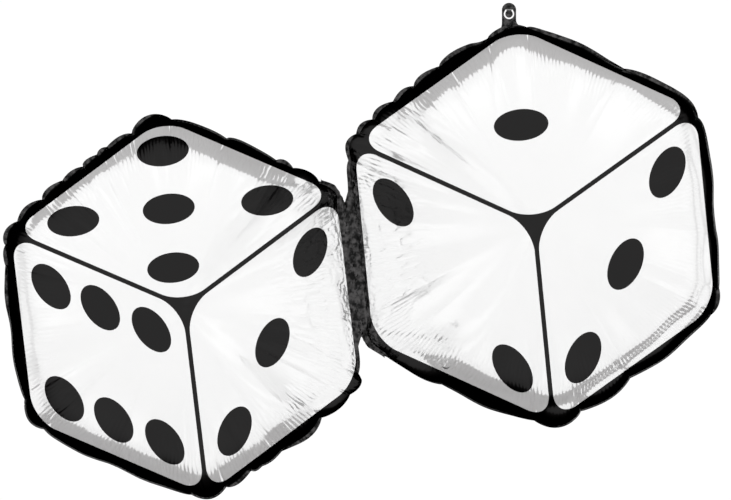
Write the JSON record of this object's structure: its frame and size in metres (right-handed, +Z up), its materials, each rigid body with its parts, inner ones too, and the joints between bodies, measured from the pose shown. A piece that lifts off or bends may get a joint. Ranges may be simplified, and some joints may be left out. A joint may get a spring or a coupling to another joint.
{
  "type": "shaped foil balloon",
  "caption": "Two pillow-shaped dice of printed metallised film, joined by a flat folding web, with a die-cut hanging tab and a self-sealing fill valve.",
  "frame": {"origin": "centre of the hanging eye in the tab, on the seam plane", "axes": "+Z up, +X to the right seen from the front, the printed front faces -Y"},
  "size_m": [0.8931, 0.25, 0.6164],
  "materials": {
    "printed_foil": "glossy white and black ink on metallised film",
    "black_foil": "glossy black ink on metallised film",
    "valve_film": "milky clear film"
  },
  "bodies": {
    "hang_tab": {"hang_tab_front_ply": "black_foil", "hang_tab_back_ply": "black_foil"},
    "eye_flap": {"eye_flap_front_ply": "black_foil", "eye_flap_back_ply": "black_foil"},
    "right_die": {"right_die_front_film": "printed_foil", "right_die_back_film": "printed_foil", "web_right_front_ply": "black_foil", "web_right_back_ply": "black_foil", "valve_front_ply": "valve_film"},
    "left_die": {"left_die_front_film": "printed_foil", "left_die_back_film": "printed_foil", "web_left_front_ply": "black_foil", "web_left_back_ply": "black_foil"},
    "inlet_flap": {"inlet_flap": "printed_foil"},
    "valve_leaf": {"valve_back_ply": "valve_film"}
  },
  "joints": [
    {"name": "tab_flex", "type": "hinge", "parent": "hang_tab", "child": "right_die", "pos_m": [0, 0, -0.008], "axis": [1, 0, 0], "range_deg": [-75, 75]},
    {"name": "web_fold", "type": "hinge", "parent": "right_die", "child": "left_die", "pos_m": [-0.1941, 0, -0.3175], "axis": [-0.1208, 0, 0.9927], "range_deg": [-40, 40], "stiffness_Nm_per_rad": 0.03},
    {"name": "eye_flap_push", "type": "hinge", "parent": "hang_tab", "child": "eye_flap", "pos_m": [0, 0, 0.0053], "axis": [1, 0, 0], "range_deg": [-75, 75]},
    {"name": "inlet_flap_push", "type": "hinge", "parent": "right_die", "child": "inlet_flap", "pos_m": [-0.0794, -0.0586, -0.4366], "axis": [0.7809, -0.6247, 0], "range_deg": [-60, 40], "stiffness_Nm_per_rad": 0.000002},
    {"name": "valve_open", "type": "hinge", "parent": "right_die", "child": "valve_leaf", "pos_m": [-0.0827, -0.0331, -0.4439], "axis": [-0.9104, 0, 0.4138], "range_deg": [0, 8], "stiffness_Nm_per_rad": 0.005}
  ]
}
